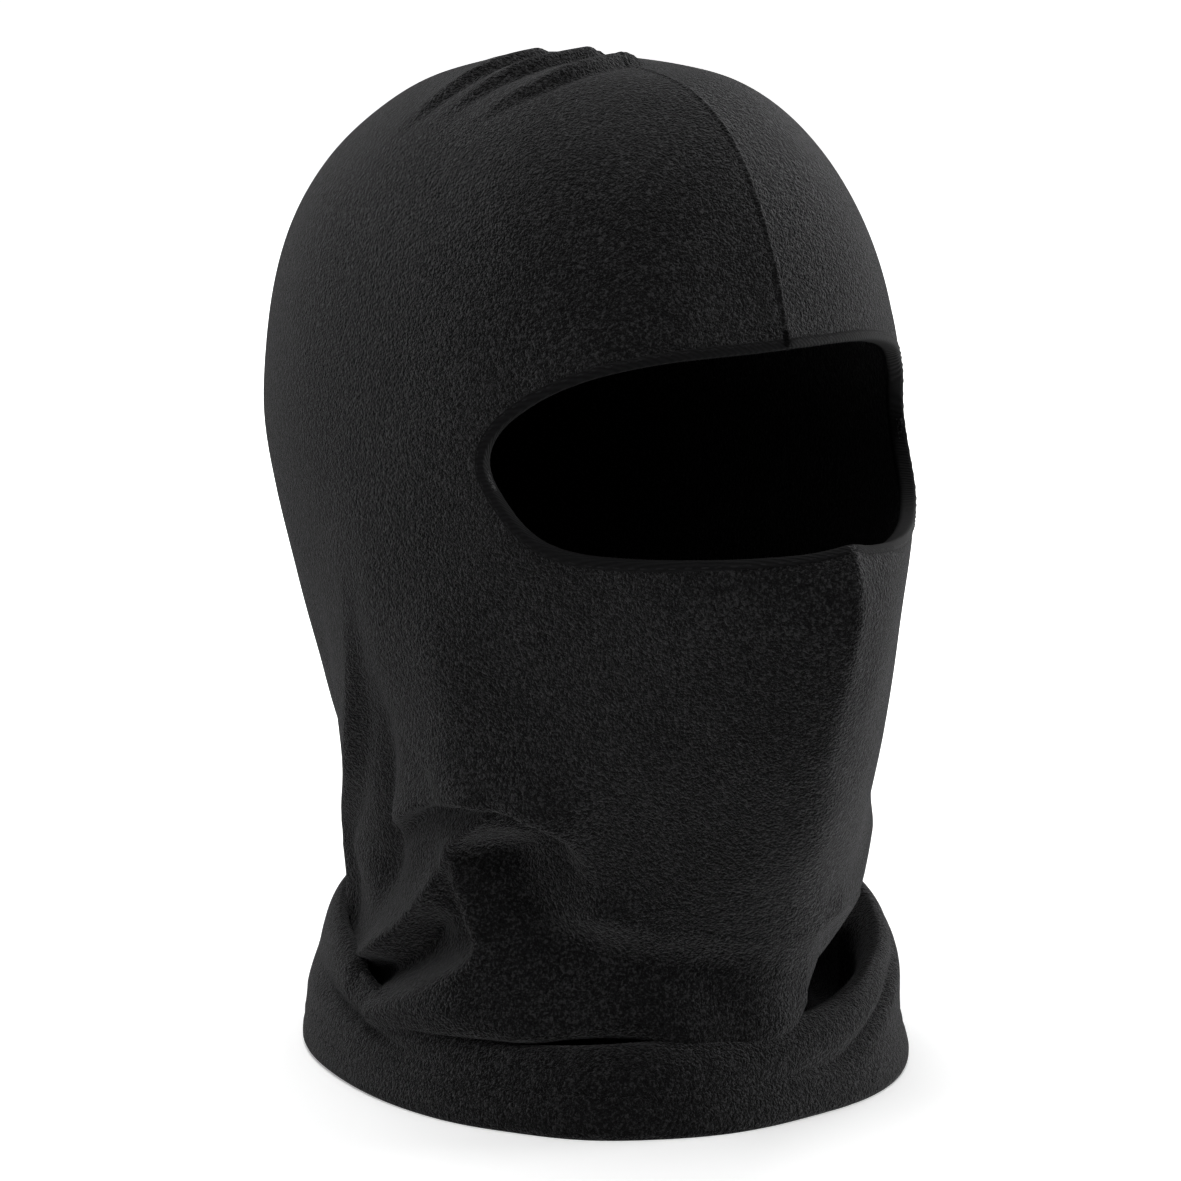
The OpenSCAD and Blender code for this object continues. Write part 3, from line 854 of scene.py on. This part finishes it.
class Nodes:
    """A short way to write a material's node tree."""

    def __init__(self, name, roughness, **sockets):
        self.material = bpy.data.materials.new(name)
        self.material.use_nodes = True
        self.tree = self.material.node_tree
        self.shader = self.tree.nodes["Principled BSDF"]
        self.shader.inputs["Roughness"].default_value = roughness
        for socket, value in sockets.items():
            self.shader.inputs[socket.replace("_", " ")].default_value = value
        self.place = self.tree.nodes.new("ShaderNodeTexCoord").outputs["Object"]

    def add(self, kind, **values):
        """A node, its settings in lower case and its sockets as they are called, linked or constant."""
        node = self.tree.nodes.new("ShaderNode" + kind)
        for key, value in values.items():
            if hasattr(value, "is_output"):
                self.tree.links.new(value, node.inputs[key.replace("_", " ")])
            elif key.islower():
                setattr(node, key, value)
            else:
                node.inputs[key.replace("_", " ")].default_value = value
        return node

    def noise(self, scale, roughness=0.5, distortion=0.0):
        return self.add("TexNoise", Vector=self.place, Scale=scale, Detail=2.0, Roughness=roughness,
                        Distortion=distortion).outputs["Fac"]

    def wave(self, scale, distortion, direction):
        return self.add("TexWave", Vector=self.place, Scale=scale, Distortion=distortion,
                        bands_direction=direction).outputs["Fac"]

    def ramp(self, fac, *stops):
        node = self.add("ValToRGB", Fac=fac)
        ramp = node.color_ramp
        while len(ramp.elements) < len(stops):
            ramp.elements.new(0.5)
        for element, (position, color) in zip(ramp.elements, stops):
            element.position = position
            element.color = (*color, 1)
        return node.outputs["Color"]

    def blend(self, first, second, share):
        """Two values added, the first one times its share and the second one times the rest."""
        return self.math("ADD", self.math("MULTIPLY", first, share),
                         self.math("MULTIPLY", second, 1 - share))

    def math(self, operation, *values):
        node = self.tree.nodes.new("ShaderNodeMath")
        node.operation = operation
        for socket, value in zip(node.inputs, values):
            if hasattr(value, "is_output"):
                self.tree.links.new(value, socket)
            else:
                socket.default_value = value
        return node.outputs[0]

    def bump(self, height, distance):
        return self.add("Bump", Height=height, Strength=1.0, Distance=distance).outputs["Normal"]

    def set(self, socket, output):
        self.tree.links.new(output, self.shader.inputs[socket])


def fleece_material():
    """Short matted pile over near-black cloth. Its colour follows the pile's bump height, with painted
    shade darkening the pits between the tufts, and a slow random tone over it.
    """
    m = Nodes("micro_fleece", 0.95, Sheen_Weight=0.17, Sheen_Roughness=0.4, Specular_IOR_Level=0.1)
    m.shader.inputs["Sheen Tint"].default_value = (0.86, 0.86, 0.88, 1)
    pile = m.noise(1600.0, 0.6, 0.4)
    tufts = m.noise(950.0, 0.5, 0.6)
    broad = m.noise(28.0)
    mixed = m.blend(pile, tufts, 0.45)
    pile_shade_and_tone = m.math("ADD", mixed, m.math("MULTIPLY", m.math("SUBTRACT", broad, 0.5), 0.08))
    # painted shade: the base colour is darkest where the pile's bump height is low, in the pits between
    # the tufts, and lighter on the tufts; the broad noise adds a slow random tone
    m.set("Base Color", m.ramp(pile_shade_and_tone, (0.42, (0.0016, 0.0016, 0.0018)), (0.52, (0.0062, 0.0062, 0.0065)),
                               (0.62, (0.034, 0.034, 0.035))))
    m.set("Normal", m.bump(mixed, 0.0026))
    return m.material


def knit_material():
    """Fine black knit of the binding."""
    m = Nodes("binding_knit", 0.75, Specular_IOR_Level=0.08)
    mixed = m.blend(m.wave(420.0, 1.5, "DIAGONAL"), m.noise(1400.0), 0.5)
    m.set("Base Color", m.ramp(mixed, (0.2, (0.0035, 0.0035, 0.0038)), (0.8, (0.008, 0.008, 0.0085))))
    m.set("Normal", m.bump(mixed, 0.0002))
    return m.material


def thread_material():
    """Black twisted sewing thread."""
    m = Nodes("sewing_thread", 0.7, Specular_IOR_Level=0.12)
    twist = m.wave(900.0, 2.0, "DIAGONAL")
    m.set("Base Color", m.ramp(twist, (0.1, (0.004, 0.004, 0.0043)), (0.9, (0.011, 0.011, 0.012))))
    m.set("Normal", m.bump(twist, 0.0001))
    return m.material


def elastic_material():
    """Ribbed off-white elastic."""
    m = Nodes("elastic_tape", 0.5, Specular_IOR_Level=0.4)
    ribs = m.wave(700.0, 0.5, "Z")
    m.set("Base Color", m.ramp(ribs, (0.1, (0.55, 0.53, 0.46)), (0.9, (0.75, 0.73, 0.66))))
    m.set("Normal", m.bump(ribs, 0.00015))
    return m.material


def satin_material():
    """Off-white satin tape with a fine weave."""
    m = Nodes("label_satin", 0.35, Specular_IOR_Level=0.5, Sheen_Weight=0.2)
    weave = m.wave(1500.0, 1.0, "Z")
    mixed = m.blend(weave, m.noise(150.0), 0.7)
    m.set("Base Color", m.ramp(mixed, (0.2, (0.66, 0.65, 0.61)), (0.8, (0.82, 0.81, 0.77))))
    m.set("Normal", m.bump(weave, 0.00006))
    return m.material


# ---- the assembly ----

fleece, knit, thread = fleece_material(), knit_material(), thread_material()
loop = opening_loop()

hood = fleece_shell(fleece)
binding = opening_band("opening_binding", curve_closed(BINDING_OUTLINE, 2), knit, loop)
elastic = opening_band("opening_elastic", np.array(ELASTIC_OUTLINE), elastic_material(), loop)
binding_seam = binding_stitches(thread, loop)
tack = brow_bartack(thread, loop)
seam = centre_seam(fleece)
overlock = centre_seam_threads(thread)
needle_seam = hem_needle_stitches(thread)
looper_seam = hem_looper_thread(thread)
label = care_label(satin_material())

for piece, body, slot, nodes in [
    (hood, "hood", "fleece", ["fleece_shell"]),
    (binding, "hood", "binding", ["face_opening_binding"]),
    (elastic, "hood", "elastic", ["face_opening_elastic"]),
    (binding_seam, "hood", "thread", ["binding_stitches"]),
    (tack, "hood", "thread", ["brow_bartack"]),
    (seam, "hood", "fleece", ["centre_seam_overlock"]),
    (overlock, "hood", "thread", []),
    (needle_seam, "hood", "thread", ["hem_needle_stitches"]),
    (looper_seam, "hood", "thread", ["hem_looper_thread"]),
    (label, "care_label", "label", ["care_label"]),
]:
    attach(piece, body)
    if nodes:
        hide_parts(*nodes)

# ---- floor, light and camera ----

CAMERA_TURN = math.radians(-34)
CAMERA_AWAY = 1.3
CAMERA_HEIGHT = 0.42
AIM_HEIGHT = 0.1296
AIM_ASIDE = -0.0043
LENS = 146.2
SENSOR = 36
LAMP_AIM = Vector((0, 0, 0.14))


def camera_side():
    """Unit directions to the camera's right and away from it, on the floor."""
    right = Vector((math.cos(CAMERA_TURN), math.sin(CAMERA_TURN), 0))
    away = Vector((-math.sin(CAMERA_TURN), math.cos(CAMERA_TURN), 0))
    return right, away


def add_camera():
    right, away = camera_side()
    data = bpy.data.cameras.new("camera")
    data.lens = LENS
    data.sensor_width = SENSOR
    camera = bpy.data.objects.new("camera", data)
    camera.location = -CAMERA_AWAY * away + Vector((0, 0, CAMERA_HEIGHT))
    aim = Vector((0, 0, AIM_HEIGHT)) + AIM_ASIDE * right
    camera.rotation_euler = (aim - camera.location).to_track_quat("-Z", "Y").to_euler()
    bpy.context.scene.collection.objects.link(camera)
    bpy.context.scene.camera = camera


def add_light(name, aside, back, up, size, power):
    """A soft square lamp placed from the camera's side of the object: aside to the camera's right,
    back away from the camera, and up, all in metres. It points at the middle of the hood."""
    right, away = camera_side()
    data = bpy.data.lights.new(name, "AREA")
    data.shape, data.size, data.energy = "SQUARE", size, power
    lamp = bpy.data.objects.new(name, data)
    lamp.location = aside * right + back * away + Vector((0, 0, up))
    lamp.rotation_euler = (LAMP_AIM - lamp.location).to_track_quat("-Z", "Y").to_euler()
    bpy.context.scene.collection.objects.link(lamp)


def camera_only(tree):
    """1 where the camera looks straight at a surface and 0 for the light that surfaces exchange."""
    return tree.nodes.new("ShaderNodeLightPath").outputs["Is Camera Ray"]


FLOOR_SIZE = 6.0
FLOOR_GLOW = 0.12
FLOOR_GLOW_NEAR = 0.2
FLOOR_GLOW_FAR = 0.95


def add_floor():
    """A pale floor that gives a little light, and looks brighter to the camera away from the hood."""
    mesh = bpy.data.meshes.new("floor")
    corners = [(-1, -1, 0), (1, -1, 0), (1, 1, 0), (-1, 1, 0)]
    mesh.from_pydata([(FLOOR_SIZE * x, FLOOR_SIZE * y, z) for x, y, z in corners], [], [(0, 1, 2, 3)])
    m = Nodes("floor_paper", 0.9, Specular_IOR_Level=0.1)
    m.shader.inputs["Base Color"].default_value = (0.92, 0.92, 0.92, 1)
    m.shader.inputs["Emission Color"].default_value = (1, 1, 1, 1)
    away = m.add("VectorMath", operation="LENGTH")
    m.tree.links.new(m.place, away.inputs[0])
    seen = m.add("MapRange", Value=away.outputs["Value"], From_Min=0.1, From_Max=0.6,
                 To_Min=FLOOR_GLOW_NEAR, To_Max=FLOOR_GLOW_FAR).outputs["Result"]
    m.set("Emission Strength", m.math("ADD", m.math("MULTIPLY", camera_only(m.tree), seen), FLOOR_GLOW))
    mesh.materials.append(m.material)
    floor = bpy.data.objects.new("floor", mesh)
    bpy.context.scene.collection.objects.link(floor)


def add_world():
    """White behind the hood, seen by the camera only."""
    world = bpy.data.worlds.new("studio")
    world.use_nodes = True
    background = world.node_tree.nodes["Background"]
    background.inputs["Color"].default_value = (1, 1, 1, 1)
    world.node_tree.links.new(camera_only(world.node_tree), background.inputs["Strength"])
    bpy.context.scene.world = world
    bpy.context.scene.view_settings.view_transform = "Standard"


add_camera()
add_light("right_side", 1.15, 0.25, 0.12, 0.5, 17.0)
add_light("overhead_front", -0.2, -0.35, 1.4, 0.9, 12.0)
add_light("overhead_back", 0.0, 0.6, 1.25, 1.0, 12.0)
add_light("front", -0.6, -1.3, 0.6, 1.0, 0.4)
add_light("behind_left", -0.9, 1.2, 0.5, 1.0, 4.0)
add_light("behind_right", 0.9, 1.1, 0.3, 1.0, 6.0)
add_floor()
add_world()
